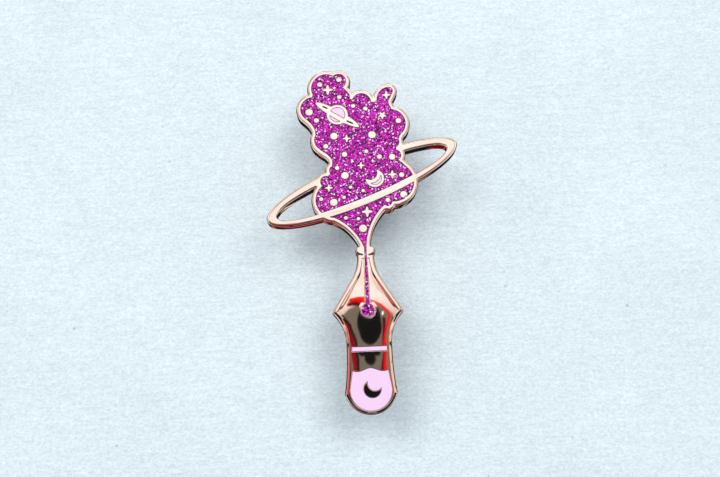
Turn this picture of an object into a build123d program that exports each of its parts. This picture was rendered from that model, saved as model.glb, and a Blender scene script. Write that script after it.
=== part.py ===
"""Hard-enamel pin: a fountain-pen nib with a ringed galaxy cloud rising from its tip.

Millimetres. X runs across the nib, +Z from the nib up to the cloud, and the face of the pin
looks along -Y. Y = 0 is the flat back of the plate, X = 0 is the nib's slit and Z = 0 is the
height of its breather hole. Two posts stand out of the back and each holds a locking clutch.
"""
import math
import os

from build123d import *

# ---------------------------------------------------------------- driving dimensions
PLATE_T = 2.2  # thickness of the struck plate
ENAMEL_DEPTH = 0.6  # depth of an enamel cell, filled flush with the face
WALL = 0.66  # metal rim between the cloud's enamel and its outer edge
NIB_SINK = 0.12  # how far the nib's polished field lies below the rim
FINE_WALL = 0.14  # thin metal line round each enamel cell in the nib's field
ENGRAVE = 0.2  # depth of the fine engraved lines

POST_R = 0.55
POST_LEN = 8.4  # from the plate's back to the point
POST_POINT = 1.1  # length of the sharpened end
POSTS = {"lower": 1.4, "upper": 26.8}  # height of the two posts, one inch apart on the nib's axis
PAD_R = 1.2  # welded foot of a post, let in flush with the back
PAD_T = 0.35
NOTCH_AT = 3.3  # locating notch in the post
NOTCH_LEN = 0.56
NOTCH_DEPTH = 0.17

CLOTH_GAP = 2.1  # cloth held between the plate and a clutch
FLANGE_R = 3.9  # clutch: base flange
FLANGE_T = 0.8
MOUTH_R = 1.3  # hole in the flange
SHELL_R = 3.0  # clutch body
CHAMBER_R = 2.4  # spring chamber inside it
CONE_ANGLE = 15.0  # race that wedges the balls on the post
BALL_R = 0.5
BALL_AT = 2.0  # plane of the balls, from the clutch's seat
BALL_GAP = 0.015  # running clearance of a gripped ball
CHAMBER_AT = 3.05
SHELL_TOP = 5.8
LID_T = 0.45
CAGE_R = 1.25
CAGE_BORE = 0.68
CAGE_LOW = 1.35
SHOULDER_R = 2.15
SHOULDER_T = 0.35
HEAD_LOW = 6.0
HEAD_TOP = 7.0
HEAD_R = 3.6
STEM_TOP = 6.7
WIRE_R = 0.14
SPRING_R = 1.75

# ---------------------------------------------------------------- artwork, in the X-Z plane
# Round lobes of the cloud's enamel: x, z, radius
PUFFS = [
    (-4.8, 33.65, 2.2),
    (-2.95, 34.75, 1.1),
    (-6.85, 30.4, 1.85),
    (-5.1, 25.5, 1.68),
    (-4.15, 20.75, 0.6),
    (-5.3, 19.1, 0.78),
    (-4.15, 16.3, 2.68),
    (0.35, 31.2, 1.4),
    (4.5, 27.7, 2.2),
    (4.8, 24.8, 0.83),
    (5.05, 22.75, 0.75),
    (4.5, 18.7, 2.97),
    (3.55, 15.65, 0.56),
]
# Middle of the cloud, from crease to crease between the lobes
CORE = [
    (-6.74, 32.86),
    (-7.93, 28.89),
    (-7.14, 28.07),
    (-6.65, 27.1),
    (-6.57, 26.5),
    (-5.93, 23.97),
    (-4.86, 23.15),
    (-4.3, 22.4),
    (-4.25, 21.7),
    (-4.66, 20.16),
    (-5.99, 18.75),
    (-4.15, 13.65),
    (2.94, 15.2),
    (4.0, 15.7),
    (5.53, 15.95),
    (7.27, 19.82),
    (6.16, 21.24),
    (5.37, 21.97),
    (5.1, 23.85),
    (5.54, 25.29),
    (6.2, 26.6),
    (4.36, 30.8),
    (2.22, 31.13),
    (-1.35, 31.75),
    (-1.5, 32.7),
    (-2.45, 33.76),
]

# The planet's ring round the cloud: centre x, z, half length, half width
RING_OUT = (0.06, 18.98, 15.03, 3.46)
RING_IN = (0.04, 18.85, 13.4, 2.27)
RING_TILT = 21.3

# Polished metal dots in the glitter: x, z, diameter
DOTS = [
    (-5.75, 34.3, 0.8),
    (-2.85, 35.0, 0.85),
    (-2.9, 32.2, 0.7),
    (-7.45, 29.95, 1.12),
    (-6.4, 28.6, 0.78),
    (0.9, 30.2, 0.7),
    (-0.9, 30.7, 0.68),
    (5.7, 28.1, 0.85),
    (1.7, 26.05, 1.15),
    (-3.9, 26.05, 1.12),
    (-5.15, 24.5, 0.76),
    (-2.45, 23.15, 0.82),
    (0.75, 23.5, 0.62),
    (2.65, 22.6, 0.76),
    (4.5, 22.5, 0.96),
    (-3.6, 21.1, 0.68),
    (-2.5, 19.9, 1.12),
    (5.75, 19.7, 0.78),
    (-1.75, 18.1, 0.54),
    (0.05, 17.5, 0.56),
    (-6.05, 16.45, 0.63),
    (-4.25, 15.9, 1.12),
    (-2.75, 16.6, 0.56),
    (3.55, 15.95, 0.7),
    (5.9, 16.7, 1.06),
    (-2.6, 13.5, 0.6),
    (-0.8, 13.3, 0.56),
    (-0.2, 11.85, 1.16),
]
# Four-pointed stars: x, z, arm length
STARS = [
    (-4.6, 33.4, 0.8),
    (4.1, 32.25, 0.66),
    (-2.05, 25.6, 0.58),
    (-0.1, 21.35, 0.54),
    (4.4, 19.8, 0.64),
    (-4.9, 18.1, 0.58),
    (0.5, 14.3, 0.78),
]
FIVE_STAR = (3.35, 29.05, 0.74)

SMALL_PLANET = (-3.3, 29.4)
SMALL_PLANET_R = 1.6
SMALL_CELL_R = 1.13
SMALL_RING = (3.78, 0.72)
SMALL_TILT = -33.0

MOON = (1.82, 19.31, 1.38)
MOON_CUT = (1.15, 20.15, 1.02)
MOON_CELL = (1.82, 19.31, 0.98)
MOON_CELL_CUT = (1.1, 20.2, 1.68)
NIB_MOON = (0.18, -10.98, 1.23)
NIB_MOON_CUT = (0.56, -10.2, 1.05)

BREATHER_R = 0.88
NIB_FOOT = (0, -10.65, 3.75)  # round foot of the nib
NIB_CELL_FOOT = (0, -11.05, 2.92)
BAND_Z = (-5.76, -5.13)
BAND_HALF = 2.45


# ---------------------------------------------------------------- flat shapes
def disc(x, z, r):
    return Pos(x, z) * Circle(r)


def polygon(points):
    return make_face(Polyline(*points, close=True))


def ellipse(centre, half_length, half_width, tilt):
    return Pos(*centre) * Rot(0, 0, tilt) * Ellipse(half_length, half_width)


def below(centre, tilt, size=40):
    """Everything on the lower side of a line through centre."""
    return Pos(*centre) * Rot(0, 0, tilt) * Pos(0, -size / 2) * Rectangle(size, size)


def crescent(body, cut):
    return disc(*body) - disc(*cut)


def horn():
    """Pointed lobe at the cloud's upper right, with one straight flank."""
    left = Line((2.2, 31.0), (2.68, 31.55)) + ThreePointArc((2.68, 31.55), (3.05, 32.7), (4.3, 33.45))
    tip = ThreePointArc((4.3, 33.45), (4.92, 33.25), (5.02, 32.7))
    flank = Polyline((5.02, 32.7), (4.35, 31.3), (4.35, 29.5), (2.2, 29.5), (2.2, 31.0))
    return make_face(left + tip + flank)


def neck():
    """Glitter that narrows from the cloud down to the nib's slit."""
    left = ThreePointArc((-4.15, 13.55), (-1.55, 11.5), (-0.12, 9.0))
    right = ThreePointArc((0.14, 9.0), (0.92, 12.4), (2.94, 15.2))
    floor = Line((-0.12, 9.0), (0.14, 9.0))
    top = Polyline((2.94, 15.2), (2.0, 17.0), (-4.15, 14.5), (-4.15, 13.55))
    return make_face(left + floor + right + top)


def slit(grow=0.0):
    """The nib's slit and breather hole, wider towards the hole."""
    low, high = 0.24 + grow, 0.12 + grow
    return polygon([(-low, 0), (low, 0), (high, 9.1), (-high, 9.1)]) + Circle(BREATHER_R + grow)


def cloud_enamel():
    shape = polygon(CORE) + horn() + neck()
    for puff in PUFFS:
        shape += disc(*puff)
    return shape


def ring_band():
    """Front half of the big ring, which crosses the cloud."""
    hoop = ellipse(RING_OUT[:2], *RING_OUT[2:], RING_TILT) - ellipse(RING_IN[:2], *RING_IN[2:], RING_TILT)
    return hoop & below(RING_IN[:2], RING_TILT)


def nib_outline():
    """One flank as arcs, mirrored, on a round foot."""
    foot_x, foot_z, foot_r = NIB_FOOT
    tuck = math.radians(14)
    foot_start = (foot_r * math.cos(tuck), foot_z - foot_r * math.sin(tuck))
    flank = ThreePointArc((1.2, 8.0), (1.38, 6.36), (1.98, 4.8))
    flank += Line((1.98, 4.8), (4.9, 0.02))
    flank += ThreePointArc((4.9, 0.02), (4.98, -0.16), (4.88, -0.34))
    flank += ThreePointArc((4.88, -0.34), (3.68, -2.2), (3.18, -5.0))
    flank += ThreePointArc((3.18, -5.0), (3.28, -8.4), foot_start)
    foot = ThreePointArc(foot_start, (foot_x, foot_z - foot_r), (-foot_start[0], foot_start[1]))
    other = flank.mirror(Plane.YZ)
    top = Line((-1.2, 8.0), (1.2, 8.0))
    return make_face(flank + foot + other + top)


def tip_ball():
    return disc(-0.78, 8.6, 0.64) + disc(0.78, 8.6, 0.64) + Pos(0, 8.6) * Rectangle(1.6, 1.2)


def nib_body_cell(grow=0.0):
    """Lilac enamel in the lower nib, with a wavy upper edge."""
    foot_x, foot_z, foot_r = NIB_CELL_FOOT
    foot_r += grow
    side, top = 2.47 + grow, -8.4 + grow
    right = Line((side, top), (foot_r, foot_z))
    foot = ThreePointArc((foot_r, foot_z), (foot_x, foot_z - foot_r), (-foot_r, foot_z))
    left = Line((-foot_r, foot_z), (-side, top))
    wave = Spline((-side, top), (-1.35, top - 0.1), (0.02, top + 0.3), (1.35, top - 0.1), (side, top))
    return make_face(right + foot + left + wave)


def nib_band_cell(grow=0.0):
    height = BAND_Z[1] - BAND_Z[0]
    return Pos(0, sum(BAND_Z) / 2) * Rectangle(2 * (BAND_HALF + grow), height + 2 * grow)


def star(points, long, short, turn=90.0):
    """A star's outline: points arms, from its long radius in to its short one."""
    step = math.pi / points
    ring = []
    for i in range(2 * points):
        r = short if i % 2 else long
        a = math.radians(turn) + i * step
        ring.append((r * math.cos(a), r * math.sin(a)))
    return polygon(ring)


def small_planet():
    return disc(*SMALL_PLANET, SMALL_PLANET_R) + ellipse(SMALL_PLANET, *SMALL_RING, SMALL_TILT)


def small_planet_cells():
    """The ball's lilac enamel above and below its ring."""
    cell = disc(*SMALL_PLANET, SMALL_CELL_R)
    lower_half = below(SMALL_PLANET, SMALL_TILT)
    upper = cell - lower_half
    lower = (cell & lower_half) - ellipse(SMALL_PLANET, *SMALL_RING, SMALL_TILT)
    return upper, lower


def islands():
    """All the bare metal that stands in the glitter."""
    shape = small_planet() + crescent(MOON, MOON_CUT)
    for x, z, d in DOTS:
        shape += disc(x, z, d / 2 + 0.02)
    for x, z, arm in STARS:
        shape += ellipse((x, z), arm + 0.05, arm * 0.36, 0)
        shape += ellipse((x, z), arm * 0.36, arm + 0.05, 0)
    x, z, arm = FIVE_STAR
    shape += Pos(x, z) * star(5, arm + 0.04, arm * 0.52, turn=-90.0)
    return shape


def plate_outline():
    cloud = offset(cloud_enamel(), WALL, kind=Kind.ARC)
    hoop = ellipse(RING_OUT[:2], *RING_OUT[2:], RING_TILT)
    openings = ellipse(RING_IN[:2], *RING_IN[2:], RING_TILT) - cloud
    return (cloud + hoop - openings) + nib_outline() + tip_ball()


# ---------------------------------------------------------------- solids
def raise_from(shape, back, front):
    """Extrudes a flat X-Z shape between two distances in front of the plate's back."""
    lying = Plane(origin=(0, -back, 0), x_dir=(1, 0, 0), z_dir=(0, -1, 0)) * shape
    return extrude(lying, amount=front - back, dir=(0, -1, 0))


def cell_fill(shape):
    return raise_from(shape, PLATE_T - ENAMEL_DEPTH, PLATE_T)


def glitter_cells():
    """The cloud's two glitter cells. The lower one runs on through the slit into the breather hole."""
    glitter = cloud_enamel() + slit() - islands() - ring_band()
    faces = sorted(glitter.faces(), key=lambda f: f.area)
    return faces[-1], faces[-2]


def nib_field():
    """Polished floor of the nib inside its rim, less the fine walls round the enamel."""
    top, low = (0.52, 7.45), (2.6, -8.26)
    flank = ThreePointArc(top, (0.76, 6.0), (1.4, 4.54)) + Line((1.4, 4.54), (4.28, -0.14))
    flank += ThreePointArc((4.28, -0.14), (3.07, -2.0), (2.52, -5.0))
    flank += ThreePointArc((2.52, -5.0), (2.52, -6.8), low)
    head = Line((-top[0], top[1]), top)
    floor = Line((-low[0], low[1]), low)
    field = make_face(flank + head + floor + flank.mirror(Plane.YZ))
    field -= slit(FINE_WALL)
    field -= nib_band_cell(FINE_WALL)
    field -= nib_body_cell(FINE_WALL)
    return field


def engraved_lines():
    """Notches under the nib's ball point and the two slots across the small planet's ring."""
    lines = [
        Line((-1.3, 8.26), (-0.44, 8.0)),
        Line((0.5, 7.95), (1.34, 8.22)),
        Line((-5.37, 30.75), (-4.78, 30.45)),
        Line((-1.88, 28.33), (-1.09, 27.94)),
    ]
    shape = Sketch()
    for line in lines:
        middle, along = line @ 0.5, line % 0.5
        turn = math.degrees(math.atan2(along.Y, along.X))
        shape += Pos(middle.X, middle.Y) * Rot(0, 0, turn) * SlotOverall(line.length + 0.16, 0.2)
    return shape


def plate(cells):
    solid = raise_from(plate_outline(), 0, PLATE_T)
    for cell in cells:
        solid -= cell_fill(cell)
    solid -= raise_from(nib_field(), PLATE_T - NIB_SINK, PLATE_T)
    solid -= raise_from(engraved_lines(), PLATE_T - ENGRAVE, PLATE_T)
    for z in POSTS.values():
        solid -= raise_from(disc(0, z, PAD_R), 0, PAD_T)
    return solid


def turned(profile):
    """Revolves a profile of (radius, height) points about the local Z axis."""
    return revolve(Plane.XZ * polygon(profile), axis=Axis.Z)


def along_post(shape, z, start=0.0):
    """Stands a shape, built on the local Z axis, on the plate's back at height z."""
    return Pos(0, start, z) * Rot(-90, 0, 0) * shape


def post(z):
    neck_r = POST_R - NOTCH_DEPTH
    end = NOTCH_AT + NOTCH_LEN
    profile = [
        (0, -PAD_T),
        (PAD_R, -PAD_T),
        (PAD_R, 0),
        (POST_R, 0),
        (POST_R, NOTCH_AT),
        (neck_r, NOTCH_AT + NOTCH_DEPTH),
        (neck_r, end - NOTCH_DEPTH),
        (POST_R, end),
        (POST_R, POST_LEN - POST_POINT),
        (0.08, POST_LEN),
        (0, POST_LEN),
    ]
    return along_post(turned(profile), z)


def race_r(s):
    """Radius of the cone that the balls run on, at height s above the clutch's seat."""
    angle = math.radians(CONE_ANGLE)
    at_balls = ball_centre_r() + (BALL_R + BALL_GAP) / math.cos(angle)
    return at_balls + (s - BALL_AT) * math.tan(angle)


def ball_centre_r():
    return POST_R + BALL_R + BALL_GAP


def clutch_shell(z):
    mouth = 1.0
    profile = [
        (MOUTH_R, 0),
        (FLANGE_R, 0),
        (FLANGE_R, FLANGE_T),
        (SHELL_R, FLANGE_T),
        (SHELL_R, SHELL_TOP),
        (CHAMBER_R, SHELL_TOP),
        (CHAMBER_R, CHAMBER_AT),
        (race_r(CHAMBER_AT), CHAMBER_AT),
        (race_r(mouth), mouth),
        (MOUTH_R, mouth),
    ]
    shell = turned(profile)
    rim = shell.edges().filter_by(GeomType.CIRCLE).filter_by(lambda e: abs(e.radius - FLANGE_R) < 0.01)
    shell = fillet(rim, 0.3)
    crown = shell.edges().filter_by(GeomType.CIRCLE).filter_by(lambda e: abs(e.radius - SHELL_R) < 0.01)
    shell = fillet(crown.sort_by(Axis.Z)[-1], 0.25)
    return along_post(shell, z, CLOTH_GAP)


def clutch_lid(z):
    bore = CAGE_R + 0.1
    low = SHELL_TOP - LID_T
    ring = turned([(bore, low), (CHAMBER_R, low), (CHAMBER_R, SHELL_TOP), (bore, SHELL_TOP)])
    return along_post(ring, z, CLOTH_GAP)


def clutch_cage(z):
    """Sleeve that carries the balls in three windows and the head on its far end."""
    profile = [
        (CAGE_BORE, CAGE_LOW),
        (CAGE_R, CAGE_LOW),
        (CAGE_R, CHAMBER_AT + 0.05),
        (SHOULDER_R, CHAMBER_AT + 0.05),
        (SHOULDER_R, CHAMBER_AT + 0.05 + SHOULDER_T),
        (CAGE_R, CHAMBER_AT + 0.05 + SHOULDER_T),
        (CAGE_R, STEM_TOP),
        (CAGE_BORE, STEM_TOP),
    ]
    sleeve = turned(profile)
    for turn in ball_turns():
        sleeve -= Rot(0, 0, turn) * Pos(1, 0, BALL_AT) * Rot(0, 90, 0) * Cylinder(BALL_R + 0.02, 2)
    return along_post(sleeve, z, CLOTH_GAP)


def clutch_head(z):
    """Knob that is pulled to let the post go: a flat disc with a shallow dish."""
    dish_r, dish = 2.7, 0.12
    profile = [
        (CAGE_R, HEAD_LOW),
        (HEAD_R, HEAD_LOW),
        (HEAD_R, HEAD_TOP),
        (dish_r, HEAD_TOP),
        (dish_r - dish, HEAD_TOP - dish),
        (0, HEAD_TOP - dish),
        (0, STEM_TOP),
        (CAGE_R, STEM_TOP),
    ]
    head = turned(profile)
    rim = head.edges().filter_by(GeomType.CIRCLE).filter_by(lambda e: abs(e.radius - HEAD_R) < 0.01)
    return along_post(fillet(rim, 0.35), z, CLOTH_GAP)


def clutch_spring(z):
    low = CHAMBER_AT + 0.05 + SHOULDER_T + WIRE_R + 0.01
    high = SHELL_TOP - LID_T - WIRE_R - 0.01
    turns = 3
    path = Helix(pitch=(high - low) / turns, height=high - low, radius=SPRING_R)
    wire = sweep(Plane(path @ 0, z_dir=path % 0) * Circle(WIRE_R), path=path, is_frenet=True)
    return along_post(Pos(0, 0, low) * wire, z, CLOTH_GAP)


def ball_turns():
    return [90 + 120 * i for i in range(3)]


def clutch_ball(z, turn):
    return along_post(Rot(0, 0, turn) * Pos(ball_centre_r(), 0, BALL_AT) * Sphere(BALL_R), z, CLOTH_GAP)


# ---------------------------------------------------------------- the whole pin
def build():
    upper_cell, lower_cell = glitter_cells()
    planet_upper, planet_lower = small_planet_cells()
    moon_cell = crescent(MOON_CELL, MOON_CELL_CUT)
    body_cell = nib_body_cell() - crescent(NIB_MOON, NIB_MOON_CUT)
    cells = {
        "enamel_cloud_upper": upper_cell,
        "enamel_cloud_lower": lower_cell,
        "enamel_planet_upper": planet_upper,
        "enamel_planet_lower": planet_lower,
        "enamel_moon": moon_cell,
        "enamel_nib_band": nib_band_cell(),
        "enamel_nib_body": body_cell,
    }
    parts = {"plate": plate(cells.values())}
    for name, cell in cells.items():
        parts[name] = cell_fill(cell)
    for place, z in POSTS.items():
        parts[f"post_{place}"] = post(z)
        parts[f"clutch_{place}_shell"] = clutch_shell(z)
        parts[f"clutch_{place}_lid"] = clutch_lid(z)
        parts[f"clutch_{place}_cage"] = clutch_cage(z)
        parts[f"clutch_{place}_head"] = clutch_head(z)
        parts[f"clutch_{place}_spring"] = clutch_spring(z)
        for number, turn in enumerate(ball_turns(), start=1):
            parts[f"clutch_{place}_ball_{number}"] = clutch_ball(z, turn)
    return parts


os.makedirs("parts", exist_ok=True)
for node, shape in build().items():
    export_step(shape, f"parts/{node}.step")
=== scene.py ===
"""Looks of the hard-enamel nib pin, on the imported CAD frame. Metres, same frame as the CAD."""
import math

import bmesh
import bpy
import numpy as np
from mathutils import Matrix, Vector
from mathutils.geometry import delaunay_2d_cdt
from mathutils.kdtree import KDTree


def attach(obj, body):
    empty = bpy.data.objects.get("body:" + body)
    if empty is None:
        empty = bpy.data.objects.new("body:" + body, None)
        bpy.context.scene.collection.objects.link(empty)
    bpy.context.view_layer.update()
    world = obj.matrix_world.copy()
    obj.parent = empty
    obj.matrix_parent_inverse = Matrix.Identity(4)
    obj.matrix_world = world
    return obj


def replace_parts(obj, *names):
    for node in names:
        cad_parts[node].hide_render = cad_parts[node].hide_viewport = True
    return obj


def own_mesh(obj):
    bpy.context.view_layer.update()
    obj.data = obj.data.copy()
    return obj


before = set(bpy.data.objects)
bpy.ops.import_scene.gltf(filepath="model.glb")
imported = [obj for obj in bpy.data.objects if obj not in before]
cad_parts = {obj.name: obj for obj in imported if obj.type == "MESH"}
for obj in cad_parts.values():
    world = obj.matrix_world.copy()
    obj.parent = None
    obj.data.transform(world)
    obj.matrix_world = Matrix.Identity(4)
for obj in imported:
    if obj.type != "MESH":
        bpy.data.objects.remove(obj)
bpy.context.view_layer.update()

MM = 0.001
FRONT = -2.2  # the plate's face, in mm
FIELD_SINK = 0.12  # how deep the CAD sinks the nib's field
SLOT_FLOOR = -2.0  # the floor of the engraved lines
ENAMELS = [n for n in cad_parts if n.startswith("enamel_")]


# ---------------------------------------------------------------- outlines from the CAD meshes
def flat_loops(node, y):
    """Closed outlines, in mm, of the faces of a node that lie flat at depth y."""
    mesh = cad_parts[node].data
    spots = [(round(v.co.x / MM, 4), round(v.co.y / MM, 4), round(v.co.z / MM, 4)) for v in mesh.vertices]
    used = {}
    for face in mesh.polygons:
        ring = [spots[i] for i in face.vertices]
        if any(abs(p[1] - y) > 0.003 for p in ring):
            continue
        for a, b in zip(ring, ring[1:] + ring[:1]):
            if a != b:
                used[(a, b)] = used.get((a, b), 0) + 1
    after = {a: b for (a, b) in used if (b, a) not in used}
    loops = []
    while after:
        start, here = after.popitem()
        loop = [start]
        while here != start and here in after:
            loop.append(here)
            here = after.pop(here)
        if len(loop) > 2:
            loops.append(np.array([(p[0], p[2]) for p in loop]))
    return loops


def turn_angles(loop):
    into = loop - np.roll(loop, 1, axis=0)
    out = np.roll(loop, -1, axis=0) - loop
    cross = into[:, 0] * out[:, 1] - into[:, 1] * out[:, 0]
    return np.abs(np.arctan2(cross, (into * out).sum(1)))


def smooth_loop(loop, step):
    """The loop resampled through its points, kept sharp where it turns by more than 38 degrees."""
    turns = turn_angles(loop)
    sharp = turns > math.radians(38)
    if len(loop) > 5 and np.ptp(turns) < math.radians(12):
        sharp[:] = False
    n = len(loop)
    points = []
    for i in range(n):
        a, b = loop[i], loop[(i + 1) % n]
        length = np.linalg.norm(b - a)
        before_a = 2 * a - b if sharp[i] else loop[i - 1]
        after_b = 2 * b - a if sharp[(i + 1) % n] else loop[(i + 2) % n]
        lead = np.linalg.norm(a - before_a)
        trail = np.linalg.norm(after_b - b)
        in_slope = (b - before_a) / (length + lead) * length
        out_slope = (after_b - a) / (length + trail) * length
        for t in np.linspace(0, 1, max(1, round(length / step)), endpoint=False):
            h = np.array([2 * t**3 - 3 * t**2 + 1, t**3 - 2 * t**2 + t, -2 * t**3 + 3 * t**2, t**3 - t**2])
            points.append(h[0] * a + h[1] * in_slope + h[2] * b + h[3] * out_slope)
    return np.array(points)


class Edges:
    """Distance and inside test for a set of closed loops."""

    def __init__(self, loops):
        self.loops = loops
        self.points = np.concatenate(loops)
        starts = np.cumsum([0] + [len(l) for l in loops])
        index = np.arange(len(self.points))
        self.next = index + 1
        self.last = index - 1
        for a, b in zip(starts[:-1], starts[1:]):
            self.next[b - 1] = a
            self.last[a] = b - 1
        self.tree = KDTree(len(self.points))
        for i, p in enumerate(self.points):
            self.tree.insert((p[0], p[1], 0), i)
        self.tree.balance()

    def distance(self, points):
        near = np.array([self.tree.find((p[0], p[1], 0))[1] for p in points])
        best = np.full(len(points), 1e9)
        for a, b in ((self.last[near], near), (near, self.next[near])):
            start, way = self.points[a], self.points[b] - self.points[a]
            t = ((points - start) * way).sum(1) / np.maximum((way * way).sum(1), 1e-12)
            spot = start + np.clip(t, 0, 1)[:, None] * way
            best = np.minimum(best, np.linalg.norm(points - spot, axis=1))
        return best

    def inside(self, points):
        a, b = self.points, self.points[self.next]
        flips = np.zeros(len(points), bool)
        for start in range(0, len(points), 4000):
            x, z = points[start : start + 4000, 0][:, None], points[start : start + 4000, 1][:, None]
            spans = (a[:, 1] > z) != (b[:, 1] > z)
            rise = np.where(b[:, 1] == a[:, 1], 1, b[:, 1] - a[:, 1])
            crossing = a[:, 0] + (z - a[:, 1]) * (b[:, 0] - a[:, 0]) / rise
            flips[start : start + 4000] = (spans & (x < crossing)).sum(1) % 2 == 1
        return flips


def rows_beside(loop, distances):
    """Points beside a loop at each distance, on both sides."""
    way = np.roll(loop, -1, axis=0) - np.roll(loop, 1, axis=0)
    normal = np.stack([-way[:, 1], way[:, 0]], 1) / np.linalg.norm(way, axis=1)[:, None]
    return [loop + side * d * normal for d in distances for side in (1, -1)]


STEP = 0.1  # spacing of the points along an outline
PAD_W = 2.6  # loops narrower than this are the posts' recesses
ENAMEL_LOOPS = [smooth_loop(l, STEP) for n in ENAMELS for l in flat_loops(n, FRONT)]
BACK_LOOPS = [smooth_loop(l, STEP) for l in flat_loops("plate", 0)]
OUTER_LOOPS = [l for l in BACK_LOOPS if np.ptp(l[:, 0]) > PAD_W]
FIELD_LOOPS = [smooth_loop(l, STEP) for l in flat_loops("plate", FRONT + FIELD_SINK)]
SLOT_LOOPS = [smooth_loop(l, 0.05) for l in flat_loops("plate", SLOT_FLOOR)]
outer, enamel, field, slots = (Edges(l) for l in (OUTER_LOOPS, ENAMEL_LOOPS, FIELD_LOOPS, SLOT_LOOPS))


# ---------------------------------------------------------------- the polished plate
SHOULDER_W = 0.14  # how far the rounded outer edge reaches in
SHOULDER_H = 0.5  # and how far down the wall
BEVEL_W = 0.3  # the shallow bevel between the flat and the rounded edge
BEVEL_SLOPE = 0.07
WALL_TAPER = 0.05  # the wall leans in towards the back


def smooth01(x):
    x = np.clip(x, 0, 1)
    return x * x * (3 - 2 * x)


def face_drop(points):
    """How far the polished face lies behind the plate's front, at each point, in mm."""
    d = outer.distance(points)
    t = np.clip((SHOULDER_W - d) / SHOULDER_W, 0, 1)
    drop = SHOULDER_H * (1 - np.sqrt(1 - np.minimum(t, 0.995) ** 2))
    drop += BEVEL_SLOPE * np.clip(BEVEL_W - d, 0, None)
    nib = smooth01((0.5 - points[:, 1]) / 2.0)
    drop += (0.006 + 0.024 * nib) * np.clip((0.5 - d) / 0.5, 0, 1) ** 2
    scoop = smooth01((0.1 - points[:, 1]) / 0.6) * smooth01((points[:, 1] + 3.8) / 1.4)
    drop += 0.07 * scoop * np.clip((0.5 - d) / 0.5, 0, 1) ** 2
    e = enamel.distance(points)
    t = np.clip((0.05 - e) / 0.05, 0, 1)
    drop += 0.05 * (1 - np.sqrt(1 - np.minimum(t, 0.98) ** 2))
    in_cloud = smooth01((points[:, 1] - 8.0) / 1.0)
    drop += 0.008 * in_cloud * np.clip((0.2 - e) / 0.2, 0, 1) ** 2
    f = field.distance(points) * np.where(field.inside(points), 1, -1)
    flank = smooth01((points[:, 1] - 0.2) / 0.8) * smooth01((np.abs(points[:, 0]) - 0.6) / 0.3)
    steep, gentle = smooth01((f + 0.05) / 0.09), smooth01((f + 0.1) / 0.42)
    level = smooth01((-0.3 - points[:, 1]) / 0.9)
    drop += 0.02 * np.maximum(steep * (1 - flank) + gentle * flank, level)
    s = slots.distance(points) * np.where(slots.inside(points), 1, -1)
    drop += 0.17 * np.clip((s + 0.02) / 0.1, 0, 1)
    wave = np.sin(points[:, 0] * 1.1 + 0.7) * np.sin(points[:, 1] * 0.83 + 0.3)
    wave += 0.5 * np.sin(points[:, 0] * 2.3 - points[:, 1] * 1.9)
    return drop + 0.00022 * (wave + 1.5)


def in_metal(points):
    return outer.inside(points) & ~enamel.inside(points)


def triangulate(loops, extra):
    """Fills the loops' surroundings with triangles through all their points and the extra ones."""
    points = list(np.concatenate(loops)) if loops else []
    edges, start = [], 0
    for loop in loops:
        n = len(loop)
        edges += [(start + i, start + (i + 1) % n) for i in range(n)]
        start += n
    points += list(extra)
    made = delaunay_2d_cdt([Vector(p) for p in points], edges, [], 0, 1e-6, False)
    return np.array([tuple(v) for v in made[0]]), np.array([tuple(f) for f in made[2]])


def thin(points, gap):
    """Drops points that crowd closer than gap to one already kept."""
    kept = {}
    out = []
    for p in points:
        cell = (int(p[0] // gap), int(p[1] // gap))
        close = False
        for i in (-1, 0, 1):
            for j in (-1, 0, 1):
                for q in kept.get((cell[0] + i, cell[1] + j), ()):
                    close |= (p[0] - q[0]) ** 2 + (p[1] - q[1]) ** 2 < gap * gap
        if not close:
            kept.setdefault(cell, []).append(p)
            out.append(p)
    return np.array(out)


def face_points():
    """Points that carry the face's shape: rows beside every edge, and a coarser grid between."""
    every = []
    for edge_set, distances in (
        (outer, (0.01, 0.03, 0.06, 0.1, 0.14, 0.18, 0.27, 0.33, 0.42)),
        (enamel, (0.012, 0.03, 0.05, 0.08, 0.15)),
    ):
        for loop in edge_set.loops:
            for row_number, row in enumerate(rows_beside(loop, distances)):
                d = distances[row_number // 2]
                row = row[np.abs(edge_set.distance(row) - d) < 0.12 * d + 0.001]
                every.append(row)
    for edge_set, distances in (
        (field, (0.001, 0.02, 0.04, 0.05, 0.08, 0.14, 0.22, 0.3, 0.38)),
        (slots, (0.001, 0.02, 0.05, 0.08)),
    ):
        for loop in edge_set.loops:
            every += rows_beside(loop, distances)
    close = np.concatenate(every)
    close = close[in_metal(close)]
    gap = np.minimum(outer.distance(close), enamel.distance(close))
    close = close[gap > 0.009]
    x, z = np.meshgrid(np.arange(-14, 14.3, 0.2), np.arange(-14.6, 37, 0.2))
    x[1::2] += 0.1
    grid = np.stack([x.ravel(), z.ravel()], 1)
    grid = grid[in_metal(grid)]
    grid = grid[(outer.distance(grid) > 0.33) & (enamel.distance(grid) > 0.2)]
    return thin(np.concatenate([close, grid]), 0.011)


def add_mesh(name, vertices, faces, smooth=True):
    mesh = bpy.data.meshes.new(name)
    mesh.from_pydata([tuple(v) for v in vertices], [], [tuple(f) for f in faces])
    mesh.validate()
    if smooth:
        mesh.shade_smooth()
    obj = bpy.data.objects.new(name, mesh)
    bpy.context.scene.collection.objects.link(obj)
    return obj


def face_out(vertices, faces, forward):
    """Turns each triangle so its normal points along the y axis with sign forward."""
    a, b, c = (vertices[faces[:, i]] for i in range(3))
    normal_y = np.cross(b - a, c - a)[:, 1]
    wrong = normal_y * forward < 0
    faces[wrong] = faces[wrong][:, ::-1]
    return faces


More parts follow.
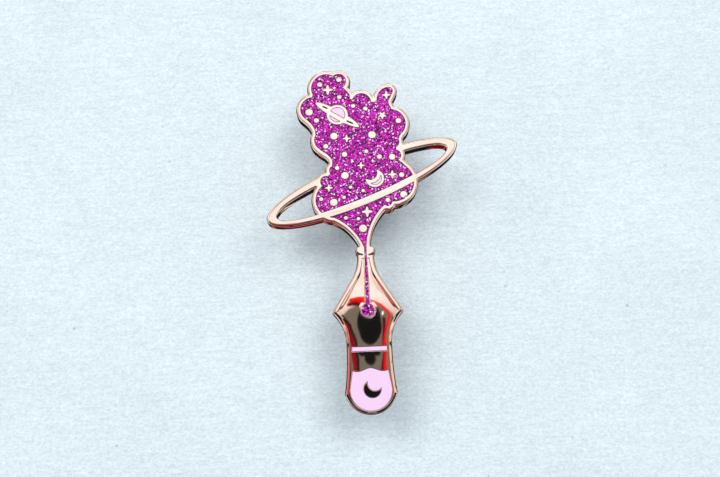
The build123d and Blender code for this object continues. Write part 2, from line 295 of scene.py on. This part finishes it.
def strip(loop_rows):
    """Quads between successive rows of the same closed loop."""
    n = len(loop_rows[0])
    vertices = np.concatenate(loop_rows)
    faces = []
    for r in range(len(loop_rows) - 1):
        for i in range(n):
            j = (i + 1) % n
            faces.append((r * n + i, r * n + j, (r + 1) * n + j, (r + 1) * n + i))
    return vertices, faces


def lift(points, y):
    """Points of the X-Z plane, in mm, at depth y."""
    y = np.broadcast_to(y, len(points))
    return np.stack([points[:, 0], y, points[:, 1]], 1)


def build_face():
    flat, faces = triangulate(outer.loops + enamel.loops, face_points())
    centres = flat[faces].mean(1)
    faces = faces[in_metal(centres)]
    vertices = lift(flat, FRONT + face_drop(flat))
    return vertices, face_out(vertices, faces, -1)


def build_back():
    pads = [l for l in BACK_LOOPS if np.ptp(l[:, 0]) <= PAD_W]
    rims = [inset(l, WALL_TAPER + 0.06) for l in outer.loops]
    flat, faces = triangulate(rims + pads, [])
    edge = Edges(rims + pads)
    faces = faces[edge.inside(flat[faces].mean(1))]
    vertices = lift(flat, 0.0)
    return vertices, face_out(vertices, faces, 1)


def inset(loop, d):
    """The loop moved into the metal by d."""
    way = np.roll(loop, -1, axis=0) - np.roll(loop, 1, axis=0)
    normal = np.stack([-way[:, 1], way[:, 0]], 1) / np.linalg.norm(way, axis=1)[:, None]
    moved = loop + d * normal
    other = loop - d * normal
    return np.where(outer.inside(loop + 0.02 * normal)[:, None], moved, other)


def join(parts):
    vertices, faces, start = [], [], 0
    for v, f in parts:
        vertices.append(np.asarray(v, float))
        faces += [tuple(int(i) + start for i in face) for face in f]
        start += len(v)
    return np.concatenate(vertices), faces


def build_plate():
    """The polished plate. Its cells have no floor: their walls end open, under the enamel."""
    parts = [build_face(), build_back()]
    for loop in outer.loops:
        top = FRONT + face_drop(loop)
        rows = [lift(loop, top)]
        for u in (0.2, 0.4, 0.6, 0.8, 0.94):
            rows.append(lift(inset(loop, WALL_TAPER * u * u), top * (1 - u)))
        rows += [lift(inset(loop, WALL_TAPER + 0.02), -0.035), lift(inset(loop, WALL_TAPER + 0.06), 0.0)]
        parts.append(strip(rows))
    for loop in enamel.loops:
        top = FRONT + face_drop(loop)
        parts.append(strip([lift(loop, top), lift(loop, -1.62)]))
    vertices, faces = join(parts)
    obj = add_mesh("plate_polished", vertices * MM, faces)
    weld(obj)
    for face in obj.data.polygons:
        face.use_smooth = face.normal.y < 0.999
    spots = np.array([v.co[:] for v in obj.data.vertices]) / MM
    depth = slots.distance(spots[:, ::2]) * np.where(slots.inside(spots[:, ::2]), 1, -1)
    # painted shade: the engraved lines turn dark towards their floors
    shade(obj, smooth01((depth + 0.03) / 0.05) * (spots[:, 1] < -1.9))
    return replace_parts(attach(obj, "pin"), "plate")


def shade(obj, amount):
    """Stores the painted shade at each vertex: how dark the material turns there, 0 to 1."""
    obj.data.attributes.new("shade", "FLOAT", "POINT").data.foreach_set("value", amount.astype(np.float32))


DIP_W, DIP_DEPTH = 0.13, 0.03  # how the enamel dips where it meets the metal
FILL_FLOOR = -1.6  # depth of the enamel's underside


def build_fill(node):
    """An enamel whose surface dips a little where it meets the metal, with shade painted darker in the dip.
    """
    loops = [smooth_loop(l, STEP) for l in flat_loops(node, FRONT)]
    edge = Edges(loops)
    rows = np.concatenate([row for l in loops for row in rows_beside(l, (0.03, 0.07, 0.11, 0.15))])
    rows = rows[edge.inside(rows)]
    rows = rows[edge.distance(rows) > 0.025]
    flat, faces = triangulate(loops, thin(rows, 0.025))
    faces = faces[edge.inside(flat[faces].mean(1))]
    dip = DIP_DEPTH * np.clip((DIP_W - edge.distance(flat)) / DIP_W, 0, 1) ** 2
    top = (lift(flat, FRONT + dip), face_out(lift(flat, 0.0), faces, -1))
    floor, tiles = triangulate(loops, [])
    tiles = tiles[edge.inside(floor[tiles].mean(1))]
    parts = [top, (lift(floor, FILL_FLOOR), face_out(lift(floor, 0.0), tiles, 1))]
    parts += [strip([lift(l, FRONT + DIP_DEPTH), lift(l, FILL_FLOOR)]) for l in loops]
    vertices, faces = join(parts)
    obj = add_mesh(node.replace("enamel", "fill"), vertices * MM, faces)
    weld(obj)
    spots = np.array([v.co[:] for v in obj.data.vertices]) / MM
    in_slit = (np.abs(spots[:, 0]) < 1.3) & (spots[:, 2] < 9.0) & (spots[:, 2] > -1.5)
    # painted shade: the enamel darkens where it dips against the metal, a quarter as much in the slit
    shade(obj, smooth01((DIP_W - edge.distance(spots[:, ::2])) / 0.11) * np.where(in_slit, 0.25, 1.0))
    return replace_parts(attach(obj, "pin"), node)


def weld(obj):
    """Joins the parts' touching points and shades smooth, apart from sharp edges."""
    work = bmesh.new()
    work.from_mesh(obj.data)
    bmesh.ops.remove_doubles(work, verts=work.verts, dist=2e-7)
    bmesh.ops.recalc_face_normals(work, faces=work.faces)
    work.to_mesh(obj.data)
    work.free()
    obj.data.shade_smooth()
    obj.data.set_sharp_from_angle(angle=math.radians(50))


# ---------------------------------------------------------------- shader arithmetic
class Value:
    """A number inside a node tree. Arithmetic on it adds the nodes."""

    def __init__(self, tree, socket):
        self.tree, self.socket = tree, socket

    def op(self, kind, *others):
        node = self.tree.nodes.new("ShaderNodeMath")
        node.operation = kind
        for slot_in, other in zip(node.inputs, (self,) + others):
            if isinstance(other, Value):
                self.tree.links.new(other.socket, slot_in)
            else:
                slot_in.default_value = other
        return Value(self.tree, node.outputs[0])

    def __add__(self, other):
        return self.op("ADD", other)

    def __sub__(self, other):
        return self.op("SUBTRACT", other)

    def __mul__(self, other):
        return self.op("MULTIPLY", other)

    def __truediv__(self, other):
        return self.op("DIVIDE", other)

    def __neg__(self):
        return self.op("MULTIPLY", -1.0)

    def step(self, low, high):
        """0 below low, 1 above high, smooth between. It falls instead if high is the smaller."""
        node = self.tree.nodes.new("ShaderNodeMapRange")
        node.interpolation_type = "SMOOTHSTEP"
        swap = high < low
        for i, v in enumerate((min(low, high), max(low, high), float(swap), float(not swap)), start=1):
            node.inputs[i].default_value = v
        self.tree.links.new(self.socket, node.inputs[0])
        return Value(self.tree, node.outputs[0])

    def between(self, a, b, soft):
        return self.step(a - soft, a + soft) * self.step(b + soft, b - soft)


class Shader:
    """Short names for the nodes used here."""

    def __init__(self, tree):
        self.tree = tree
        tree.nodes.clear()

    def add(self, kind, **values):
        node = self.tree.nodes.new(kind)
        for key, value in values.items():
            if hasattr(node, key):
                setattr(node, key, value)
            else:
                self.put(node, key.replace("_", " "), value)
        return node

    def put(self, node, name, value):
        target = next(s for s in node.inputs if s.name == name and s.enabled)
        if isinstance(value, Value):
            value = value.socket
        if isinstance(value, bpy.types.NodeSocket):
            self.tree.links.new(value, target)
        elif isinstance(value, tuple) and len(value) == 3 and target.type == "RGBA":
            target.default_value = (*value, 1.0)
        else:
            target.default_value = value

    def value(self, socket):
        return Value(self.tree, socket)

    def position(self):
        """Object coordinates in mm."""
        coords = self.add("ShaderNodeTexCoord")
        scale = self.add("ShaderNodeVectorMath", operation="SCALE")
        self.tree.links.new(coords.outputs["Object"], scale.inputs[0])
        scale.inputs["Scale"].default_value = 1000.0
        return scale.outputs[0]

    def split(self, vector):
        node = self.add("ShaderNodeSeparateXYZ")
        self.tree.links.new(vector, node.inputs[0])
        return [self.value(s) for s in node.outputs]

    def noise(self, vector, scale, detail=2.0, rough=0.5, stretch=None):
        if stretch:
            mapping = self.add("ShaderNodeMapping")
            self.tree.links.new(vector, mapping.inputs["Vector"])
            mapping.inputs["Scale"].default_value = stretch
            vector = mapping.outputs[0]
        node = self.add("ShaderNodeTexNoise", Scale=scale, Detail=detail, Roughness=rough)
        self.tree.links.new(vector, node.inputs["Vector"])
        return self.value(node.outputs[0])

    def mix(self, fac, a, b):
        """Colour a where fac is 0, b where it is 1."""
        node = self.tree.nodes.new("ShaderNodeMix")
        node.data_type = "RGBA"
        for slot_in, v in ((node.inputs[0], fac), (node.inputs[6], a), (node.inputs[7], b)):
            if isinstance(v, Value):
                v = v.socket
            if isinstance(v, bpy.types.NodeSocket):
                self.tree.links.new(v, slot_in)
            elif isinstance(v, tuple):
                slot_in.default_value = (*v, 1.0)
            else:
                slot_in.default_value = v
        return node.outputs[2]

    def ramp(self, fac, stops, mode="LINEAR"):
        node = self.add("ShaderNodeValToRGB")
        node.color_ramp.interpolation = mode
        while len(node.color_ramp.elements) < len(stops):
            node.color_ramp.elements.new(0.5)
        for element, (spot, colour) in zip(node.color_ramp.elements, stops):
            element.position = spot
            element.color = (*colour, 1.0)
        self.tree.links.new(fac.socket, node.inputs[0])
        return node.outputs[0]

    def bump(self, height, distance, strength=1.0):
        node = self.add("ShaderNodeBump", Strength=strength, Distance=distance)
        self.tree.links.new(height.socket, node.inputs["Height"])
        return node.outputs[0]

    def done(self, shader):
        output = self.add("ShaderNodeOutputMaterial")
        self.tree.links.new(shader.outputs[0], output.inputs["Surface"])


def srgb(r, g, b):
    """0-255 screen colour to scene light."""
    return tuple(((c / 255 + 0.055) / 1.055) ** 2.4 if c > 10 else c / 255 / 12.92 for c in (r, g, b))


def new_material(name):
    material = bpy.data.materials.new(name)
    material.use_nodes = True
    return material, Shader(material.node_tree)


# ---------------------------------------------------------------- materials
def metal(name, colour, rough, scratch, stipple=0.0, back=0.0):
    """Plated metal. Back is the extra roughness of a satin back at y = 0."""
    material, s = new_material(name)
    here = s.position()
    behind = s.split(here)[1].step(-0.03, -0.01)
    blotch = s.noise(here, 0.35, 3.0)
    fine = s.noise(here, 9.0, 4.0, 0.6)
    hair = s.noise(here, 3.0, 3.0, 0.7, stretch=(0.35, 1.0, 6.0))
    tint = s.mix(blotch.step(0.35, 0.7) * 0.35, colour, tuple(c * 0.9 for c in colour))
    # painted shade: the stored vertex shade darkens the metal down in the engraved lines
    groove_shade = s.add("ShaderNodeAttribute", attribute_name="shade")
    tint = s.mix(s.value(groove_shade.outputs["Fac"]) * 0.92, tint, (0.03, 0.02, 0.02))
    roughness = (blotch - 0.5) * (rough * 0.6) + (fine - 0.5) * (rough * 0.5) + rough
    roughness += behind * (blotch * 0.5 + 0.75) * back
    height = hair * scratch + fine * (scratch * 0.5 + stipple) + behind * fine * back * 2.0
    bsdf = s.add("ShaderNodeBsdfPrincipled", Metallic=1.0)
    s.put(bsdf, "Base Color", tint)
    s.put(bsdf, "Roughness", roughness)
    s.put(bsdf, "Normal", s.bump(height, 0.000005))
    s.done(bsdf)
    return material


def glitter(name):
    """Deep magenta enamel packed with flakes of different size, tilt and brightness."""
    material, s = new_material(name)
    here = s.position()

    def flakes(scale):
        cell = s.add("ShaderNodeTexVoronoi", Scale=scale, Randomness=1.0)
        s.tree.links.new(here, cell.inputs["Vector"])
        return s.split(cell.outputs["Color"]), cell.outputs["Color"]

    (big_r, big_g, _), _ = flakes(5.6)
    (small_r, small_g, _), small = flakes(8.6)
    deep, plum = srgb(44, 0, 44), srgb(116, 0, 100)
    magenta, violet = srgb(214, 0, 184), srgb(180, 20, 206)
    pink, pale = srgb(255, 84, 244), srgb(255, 236, 255)
    stops = [(0.0, deep), (0.23, plum), (0.40, magenta), (0.62, violet), (0.76, pink), (0.93, pale)]
    fine = s.ramp(small_r, stops, "CONSTANT")
    coarse = s.ramp(big_r, [(0.0, deep), (0.3, magenta), (0.74, plum), (0.91, pale)], "CONSTANT")
    colour = s.mix(big_g.step(0.48, 0.5), fine, coarse)
    # painted shade: darker along the edge where the enamel dips against the metal
    rim_shade = s.add("ShaderNodeAttribute", attribute_name="shade")
    colour = s.mix(s.value(rim_shade.outputs["Fac"]) * 0.8, colour, srgb(52, 0, 44))
    tilt = s.add("ShaderNodeVectorMath", operation="SUBTRACT")
    s.tree.links.new(small, tilt.inputs[0])
    tilt.inputs[1].default_value = (0.5, 0.5, 0.5)
    reach = s.add("ShaderNodeVectorMath", operation="SCALE", Scale=0.9)
    s.tree.links.new(tilt.outputs[0], reach.inputs[0])
    geometry = s.add("ShaderNodeNewGeometry")
    total = s.add("ShaderNodeVectorMath", operation="ADD")
    s.tree.links.new(reach.outputs[0], total.inputs[0])
    s.tree.links.new(geometry.outputs["Normal"], total.inputs[1])
    leaf = s.add("ShaderNodeVectorMath", operation="NORMALIZE")
    s.tree.links.new(total.outputs[0], leaf.inputs[0])
    bsdf = s.add("ShaderNodeBsdfPrincipled", Roughness=0.35)
    s.put(bsdf, "Base Color", colour)
    s.put(bsdf, "Metallic", small_g.step(0.6, 0.62) * 0.3)
    s.put(bsdf, "Normal", leaf.outputs[0])
    s.put(bsdf, "Specular IOR Level", 0.25)
    s.put(bsdf, "Coat Weight", 0.35)
    s.put(bsdf, "Coat Roughness", 0.04)
    s.done(bsdf)
    return material


def enamel_gloss(name, colour):
    """Smooth opaque enamel with faint clouding and a few pinholes."""
    material, s = new_material(name)
    here = s.position()
    cloud = s.noise(here, 0.6, 3.0)
    grain = s.noise(here, 14.0, 2.0)
    tint = s.mix(cloud.step(0.3, 0.75) * 0.5, colour, tuple(c * 0.94 for c in colour))
    pin = s.add("ShaderNodeTexVoronoi", Scale=1.3)
    s.tree.links.new(here, pin.inputs["Vector"])
    hole = s.value(pin.outputs["Distance"]).step(0.03, 0.015)
    tint = s.mix(hole * 0.3, tint, tuple(c * 0.6 for c in colour))
    # painted shade: darker along the edge where the enamel dips against the metal
    rim_shade = s.add("ShaderNodeAttribute", attribute_name="shade")
    tint = s.mix(s.value(rim_shade.outputs["Fac"]).step(0.5, 1.0) * 0.75, tint, srgb(92, 40, 84))
    bsdf = s.add("ShaderNodeBsdfPrincipled", Roughness=0.3)
    s.put(bsdf, "Base Color", tint)
    s.put(bsdf, "Coat Weight", 0.5)
    s.put(bsdf, "Coat Roughness", 0.03)
    s.put(bsdf, "Normal", s.bump(grain, 0.000002))
    s.done(bsdf)
    return material


# ---------------------------------------------------------------- pieces
PLATING = metal("plated_metal", (0.96, 0.93, 0.90), 0.016, 0.004, back=0.2)
POST_METAL = metal("plated_post", (0.86, 0.83, 0.80), 0.16, 0.3, 0.2)
CLUTCH = metal("clutch_plating", (0.80, 0.79, 0.77), 0.14, 0.3)
BRASS = metal("clutch_brass", (0.78, 0.58, 0.27), 0.22, 0.4)
STEEL = metal("hard_steel", (0.62, 0.62, 0.64), 0.1, 0.1)
GLITTER = glitter("glitter_enamel")
LILAC = enamel_gloss("lilac_enamel", srgb(240, 206, 240))


def dress(obj, material, slot_name):
    obj.data.materials.clear()
    obj.data.materials.append(material)


def dress_nodes():
    finish = {
        "shell": (CLUTCH, "clutch_plating"),
        "lid": (CLUTCH, "clutch_plating"),
        "head": (CLUTCH, "clutch_plating"),
        "cage": (BRASS, "clutch_brass"),
        "ball": (STEEL, "hard_steel"),
        "post": (POST_METAL, "plated_metal"),
    }
    crease = math.radians(32)
    for name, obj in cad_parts.items():
        key = next((k for k in finish if k in name.split("_")), None)
        if key is None:
            continue
        dress(obj, *finish[key])
        obj.data.shade_smooth()
        obj.data.set_sharp_from_angle(angle=crease)


def build_spring(place):
    """The clutch's coil as its own piece, attached to the clutch's pull body."""
    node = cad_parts[f"clutch_{place}_spring"]
    spring = bpy.data.objects.new(f"coil_{place}", node.data.copy())
    spring.matrix_world = node.matrix_world.copy()
    bpy.context.scene.collection.objects.link(spring)
    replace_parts(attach(spring, f"{place}_pull"), f"clutch_{place}_spring")
    dress(spring, STEEL, "hard_steel")
    spring.data.shade_smooth()
    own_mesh(spring)


dress(build_plate(), PLATING, "plated_metal")
for name in ENAMELS:
    enamel_finish = (GLITTER, "glitter_enamel") if "cloud" in name else (LILAC, "lilac_enamel")
    dress(build_fill(name), *enamel_finish)
dress_nodes()
build_spring("lower")
build_spring("upper")


# ---------------------------------------------------------------- paper behind the pin
PAPER_Y, PAPER_HALF = 9.5, 160  # just behind the clutches, in mm


def build_paper():
    corners = [(x * PAPER_HALF, PAPER_Y, z * PAPER_HALF) for x, z in ((-1, -1), (1, -1), (1, 1), (-1, 1))]
    paper = add_mesh("paper", np.array(corners) * MM, [(0, 1, 2, 3)], smooth=False)
    material, s = new_material("paper")
    here = s.position()
    laid = s.noise(here, 1.0, 4.0, 0.6, stretch=(0.35, 1.0, 2.6))
    fibre = s.noise(here, 3.0, 5.0, 0.75, stretch=(0.8, 1.0, 1.3))
    blotch = s.noise(here, 0.05, 2.0)
    tone = (laid - 0.5) * 0.24 + (fibre - 0.5) * 0.90 + (blotch - 0.5) * 0.14 + 1.0
    speck = s.add("ShaderNodeTexVoronoi", Scale=0.16)
    s.tree.links.new(here, speck.inputs["Vector"])
    dot = s.value(speck.outputs["Distance"]).step(0.05, 0.03)
    tint = s.add("ShaderNodeVectorMath", operation="SCALE")
    tint.inputs[0].default_value = (0.69, 0.78, 0.825)
    s.put(tint, "Scale", tone - dot * 0.25)
    diffuse = s.add("ShaderNodeBsdfDiffuse")
    s.tree.links.new(tint.outputs[0], diffuse.inputs["Color"])
    s.tree.links.new(s.bump(laid + fibre, 0.0001, 0.5), diffuse.inputs["Normal"])
    clear = s.add("ShaderNodeBsdfTransparent")
    path = s.add("ShaderNodeLightPath")
    side = s.add("ShaderNodeNewGeometry")
    seen = s.value(path.outputs["Is Camera Ray"]) * (-s.value(side.outputs["Backfacing"]) + 1.0)
    # it fades away for a camera at the side, which could not see past it
    seen *= (-s.split(side.outputs["Incoming"])[1]).step(0.36, 0.52)
    show = s.add("ShaderNodeMixShader")
    s.tree.links.new(seen.socket, show.inputs[0])
    s.tree.links.new(clear.outputs[0], show.inputs[1])
    s.tree.links.new(diffuse.outputs[0], show.inputs[2])
    s.done(show)
    paper.data.materials.append(material)


build_paper()


# ---------------------------------------------------------------- surroundings
EYE = Vector((-2.021, -132.242, -22.744))  # the camera, in mm
REACH = 130.0  # from the camera to the pin's face


def build_world():
    """Pale studio for soft light, and the room that the polished metal reflects."""
    world = bpy.data.worlds.new("studio")
    bpy.context.scene.world = world
    world.use_nodes = True
    s = Shader(world.node_tree)
    coords = s.add("ShaderNodeTexCoord")
    x, y, z = s.split(coords.outputs["Generated"])
    ahead = (-y).op("MAXIMUM", 0.02)
    # where on the flat face this direction is seen mirrored, in mm
    px = x / ahead * REACH + EYE.x
    pz = z / ahead * REACH + EYE.z

    def blob(cx, cz, rx, rz, soft):
        u, v = (px - cx) / rx, (pz - cz) / rz
        return (u * u + v * v).step(1 + soft, 1 - soft)

    def stroke(ax, az, bx, bz, width, soft):
        dx, dz = bx - ax, bz - az
        t = ((px - ax) * dx + (pz - az) * dz) / (dx * dx + dz * dz)
        t = t.op("MAXIMUM", 0.0).op("MINIMUM", 1.0)
        u, v = px - ax - t * dx, pz - az - t * dz
        return (u * u + v * v).op("SQRT").step(width + soft, width - soft)

    white, cream, salmon = (1.30, 1.21, 1.18), (1.10, 0.92, 0.83), (0.74, 0.42, 0.33)
    coral, orange, red = (0.85, 0.27, 0.21), (0.95, 0.62, 0.42), (0.9, 0.006, 0.006)
    maroon, black, grey = (0.11, 0.003, 0.007), (0.010, 0.009, 0.009), (0.19, 0.155, 0.12)
    brown = (0.26, 0.17, 0.11)

    # the bright panel seen by the cloud and the ring, with paler and darker borders round it
    colour = s.ramp(
        (pz + 40.0) / 160.0,
        [
            (0.0, maroon),
            (0.17, coral),
            (0.20, salmon),
            (0.24, salmon),
            (0.26, cream),
            (0.47, cream),
            (0.49, salmon),
            (0.53, salmon),
            (0.56, white),
            (0.64, white),
            (0.70, salmon),
            (0.76, (0.06, 0.03, 0.02)),
            (1.0, (0.04, 0.03, 0.03)),
        ],
    )
    colour = s.mix(px.between(-7.0, 7.0, 1.5) * pz.between(16, 37, 2.0) * 0.55, colour, white)
    streak = s.noise(coords.outputs["Generated"], 26.0, 2.0, 0.5, stretch=(1.0, 0.3, 2.2))
    colour = s.mix(streak.step(0.56, 0.70) * pz.step(2.0, 4.0) * 0.22, colour, salmon)
    left, right = -px, px
    for side, edge in ((left, coral), (right, orange)):
        colour = s.mix(side.between(17, 28, 2.0) * pz.step(-20, 0), colour, (0.60, 0.31, 0.23))
        colour = s.mix(side.step(29, 33), colour, white)
        colour = s.mix(side.step(46, 60), colour, edge)
        colour = s.mix(side.step(80, 105), colour, (0.07, 0.03, 0.025))
    # the dark floor, seen by edges that lean down
    wide = px.op("ABSOLUTE")
    fall = -pz - wide * 0.42
    below = pz.step(-11.4, -12.4).op("MAXIMUM", wide.step(9, 11) * pz.step(-7.5, -9))
    floor = fall.step(0.0, 2.0) * below
    colour = s.mix(floor, colour, black)
    colour = s.mix(wide.step(12, 9) * pz.between(-27.0, -15.0, 1.5), colour, (0.40, 0.35, 0.32))
    colour = s.mix(blob(3.0, -37.5, 9.0, 3.5, 0.4), colour, (0.13, 0.004, 0.009))
    colour = s.mix(blob(-14.0, -34.0, 6.0, 8.0, 0.5), colour, (0.42, 0.012, 0.03))
    # dark under the nib's shoulders and along the ring's lower edge
    colour = s.mix(wide.step(7.5, 9.5) * pz.between(-11.5, 5.0, 0.7) * 0.8, colour, (0.36, 0.12, 0.09))
    colour = s.mix(wide.between(9, 76, 2.0) * pz.between(-4.4, -0.9, 0.35), colour, black)
    # the coral and the orange light that the nib's sides catch
    low = pz.between(-13.5, -4.6, 0.5)
    rosy, tan = (0.74, 0.31, 0.24), (1.05, 0.78, 0.58)
    for side, tone, line, edge in ((left, (0.62, 0.13, 0.10), maroon, rosy), (right, orange, brown, tan)):
        colour = s.mix(side.between(2.7, 9, 0.2) * low, colour, line)
        colour = s.mix(side.between(6, 30, 1.5) * low, colour, tone)
        colour = s.mix(side.between(33, 46, 2.0) * low, colour, edge)
    # two soft lines across the bright panel, and the streaks beside the slit
    colour = s.mix(stroke(0.35, 5.9, 1.45, 3.1, 0.12, 0.08) * 0.6, colour, salmon)
    colour = s.mix(stroke(1.45, 3.1, 3.1, 1.3, 0.14, 0.08) * 0.7, colour, salmon)
    colour = s.mix(stroke(3.1, 1.3, 4.4, 0.15, 0.12, 0.08) * 0.5, colour, salmon)
    # what the nib mirrors: the rough outline of the photographer and their things, placed one by one
    dark = blob(0.0, -4.2, 4.6, 5.2, 0.10)
    colour = s.mix(dark, colour, grey)
    colour = s.mix(stroke(-3.0, -0.1, -2.2, -3.2, 0.75, 0.25) * dark, colour, grey)
    colour = s.mix(stroke(-2.55, 1.1, -0.5, 1.2, 0.34, 0.30), colour, salmon)
    colour = s.mix(stroke(-2.3, 1.42, -0.5, 1.52, 0.40, 0.07), colour, red)
    colour = s.mix(stroke(-2.7, 0.84, -0.3, 0.88, 0.28, 0.12), colour, maroon)
    for a, b in (((-3.7, -0.9), (-2.95, -2.2)), ((-2.95, -2.2), (-2.3, -4.7)), ((-2.3, -4.7), (-1.98, -8.6))):
        colour = s.mix(stroke(*a, *b, 0.36, 0.10), colour, (0.27, 0.006, 0.012))
    for a, b in (((-3.6, -0.7), (-2.55, -2.1)), ((-2.55, -2.1), (-1.8, -4.6)), ((-1.8, -4.6), (-1.6, -8.6))):
        colour = s.mix(stroke(*a, *b, 0.17, 0.07), colour, black)
    colour = s.mix(blob(0.15, -1.9, 1.72, 3.0, 0.10), colour, black)
    colour = s.mix(stroke(-1.1, -6.0, 1.0, -6.0, 0.42, 0.12), colour, black)
    colour = s.mix(blob(0.05, -6.6, 0.75, 1.1, 0.4), colour, black)
    for a, b in (((0.5, 1.3), (1.7, 0.75)), ((1.7, 0.75), (2.85, -0.4)), ((2.88, -0.5), (2.9, -1.3))):
        colour = s.mix(stroke(*a, *b, 0.17, 0.06), colour, red)
    colour = s.mix(stroke(2.25, -1.3, 1.72, -8.6, 0.20, 0.09), colour, maroon)
    for a, b in (((2.9, -1.2), (2.4, -3.2)), ((2.4, -3.2), (2.1, -5.0)), ((2.1, -5.0), (2.08, -8.6))):
        colour = s.mix(stroke(*a, *b, 0.19, 0.07), colour, red)
    colour = s.mix(stroke(3.35, -1.5, 2.7, -4.6, 0.36, 0.10), colour, brown)
    colour = s.mix(stroke(2.62, -4.6, 2.6, -8.6, 0.26, 0.08), colour, brown)
    colour = s.mix(blob(2.1, -0.55, 0.14, 0.3, 0.3), colour, white)
    colour = s.mix(stroke(-4.3, -0.45, -3.5, -1.7, 0.30, 0.08), colour, black)
    colour = s.mix(stroke(-3.5, -1.7, -3.0, -4.4, 0.26, 0.08), colour, maroon)
    colour = s.mix(stroke(4.25, -0.45, 3.55, -1.6, 0.30, 0.08), colour, black)
    colour = s.mix(stroke(3.6, -1.7, 3.2, -3.6, 0.12, 0.06), colour, black)
    colour = s.mix(blob(0.2, -11.0, 1.95, 1.6, 0.12), colour, black)
    colour = s.mix(blob(1.0, -14.0, 0.9, 0.35, 0.4), colour, (0.45, 0.01, 0.03))
    colour = s.mix(blob(-1.3, -13.8, 0.7, 0.35, 0.4), colour, (0.35, 0.01, 0.03))
    # bright line round the breather hole and along the slit
    reach = (px * px + pz * pz).op("SQRT")
    colour = s.mix(reach.between(0.86, 1.04, 0.03), colour, white)
    slit = (px - 0.05).op("ABSOLUTE").between(0.2, 0.36, 0.03) * pz.between(1.0, 7.5, 0.2)
    colour = s.mix(slit, colour, white)
    # the room behind the pin, seen by its walls
    depth = -z
    room = s.ramp(
        depth,
        [
            (0.0, black),
            (0.17, black),
            (0.215, (0.12, 0.004, 0.012)),
            (0.235, (0.80, 0.12, 0.14)),
            (0.255, (0.20, 0.004, 0.008)),
            (0.33, (0.09, 0.001, 0.002)),
            (0.42, (0.26, 0.006, 0.01)),
            (0.55, (0.10, 0.002, 0.003)),
            (0.75, (0.26, 0.06, 0.04)),
            (0.85, black),
            (1.0, (0.14, 0.04, 0.03)),
        ],
    )
    narrow = x.between(0.15, 0.30, 0.02)
    room = s.mix(narrow * depth.between(0.02, 0.085, 0.01), room, (0.28, 0.20, 0.11))
    room = s.mix(narrow * depth.between(0.092, 0.112, 0.006), room, cream)
    room = s.mix(narrow * depth.between(0.13, 0.5, 0.012), room, black)
    room = s.mix((-x).between(0.16, 0.42, 0.04) * depth.between(0.075, 0.13, 0.01), room, (0.80, 0.17, 0.12))
    side_hue = s.mix((-x).step(0.1, 0.7), room, (0.12, 0.02, 0.02))
    colour = s.mix(y.step(-0.12, 0.04), colour, room)
    colour = s.mix(y.step(-0.1, 0.05) * (-x).step(0.35, 0.8) * 0.5, colour, side_hue)
    # the pale studio all round, seen by the back and the clutches and from the other sides
    around = s.ramp(
        (z + 1.0) / 2.0,
        [
            (0.0, black),
            (0.12, (0.10, 0.07, 0.06)),
            (0.22, (0.58, 0.50, 0.46)),
            (0.34, (0.90, 0.85, 0.82)),
            (0.44, (0.80, 0.75, 0.72)),
            (0.485, (0.30, 0.25, 0.23)),
            (0.50, (0.16, 0.12, 0.11)),
            (0.52, (0.70, 0.65, 0.62)),
            (0.56, (0.12, 0.07, 0.05)),
            (0.70, (0.12, 0.07, 0.05)),
            (0.80, (0.62, 0.57, 0.54)),
            (0.90, (0.62, 0.57, 0.54)),
            (1.0, (0.30, 0.27, 0.25)),
        ],
    )
    drift = s.noise(coords.outputs["Generated"], 4.5, 2.0, 0.5)
    around = s.mix(drift.step(0.50, 0.66) * 0.65, around, (0.24, 0.17, 0.15))
    colour = s.mix(wide.step(98, 112) * y.step(0.85, 0.76), colour, around)
    panel = wide.step(9, 6) * (-pz).between(47, 56, 1.5) * y.step(0.0, -0.1)
    colour = s.mix(panel, colour, (0.62, 0.55, 0.51))

    path = s.add("ShaderNodeLightPath")
    glossy = s.value(path.outputs["Is Glossy Ray"])
    camera = s.value(path.outputs["Is Camera Ray"])
    soft = s.add("ShaderNodeBackground")
    s.put(soft, "Color", s.mix(camera, (0.42, 0.45, 0.48), srgb(226, 239, 247)))
    mirrored = s.add("ShaderNodeBackground")
    s.put(mirrored, "Color", colour)
    both = s.add("ShaderNodeMixShader")
    s.tree.links.new(glossy.socket, both.inputs[0])
    s.tree.links.new(soft.outputs[0], both.inputs[1])
    s.tree.links.new(mirrored.outputs[0], both.inputs[2])
    output = s.add("ShaderNodeOutputWorld")
    s.tree.links.new(both.outputs[0], output.inputs["Surface"])
    world.cycles.sampling_method = "NONE"


def area_light(name, where, aim, size, power, colour):
    data = bpy.data.lights.new(name, "AREA")
    data.shape = "DISK"
    data.size = size * MM
    data.energy = power
    data.color = colour
    light = bpy.data.objects.new(name, data)
    bpy.context.scene.collection.objects.link(light)
    light.location = Vector(where) * MM
    light.rotation_mode = "QUATERNION"
    light.rotation_quaternion = ((Vector(aim) - Vector(where)) * MM).to_track_quat("-Z", "Y")
    light.visible_glossy = False
    light.visible_camera = False


build_world()
area_light("key_left", (-150, -400, 100), (0, 0, 12), 230, 0.82, (1.0, 0.985, 0.96))
area_light("key_right", (130, -410, 90), (0, 0, 12), 230, 0.80, (1.0, 0.985, 0.96))
area_light("back_fill", (-150, 330, 150), (0, 0, 12), 200, 1.1, (1.0, 0.98, 0.96))


# ---------------------------------------------------------------- camera
def build_camera():
    tilt, lean = math.radians(14.3), math.radians(2.3)
    right = Vector((math.cos(lean), 0, -math.sin(lean)))
    along = Vector((math.sin(lean), 0, math.cos(lean)))
    out = Vector((0, -1, 0))
    back = out * math.cos(tilt) - along * math.sin(tilt)
    up = along * math.cos(tilt) + out * math.sin(tilt)
    data = bpy.data.cameras.new("camera")
    data.lens, data.sensor_width = 46.97, 36.0
    data.clip_start, data.clip_end = 0.001, 10
    camera = bpy.data.objects.new("camera", data)
    bpy.context.scene.collection.objects.link(camera)
    camera.matrix_world = Matrix.Translation(EYE * MM) @ Matrix((right, up, back)).transposed().to_4x4()
    bpy.context.scene.camera = camera


build_camera()
bpy.context.scene.view_settings.view_transform = "Standard"
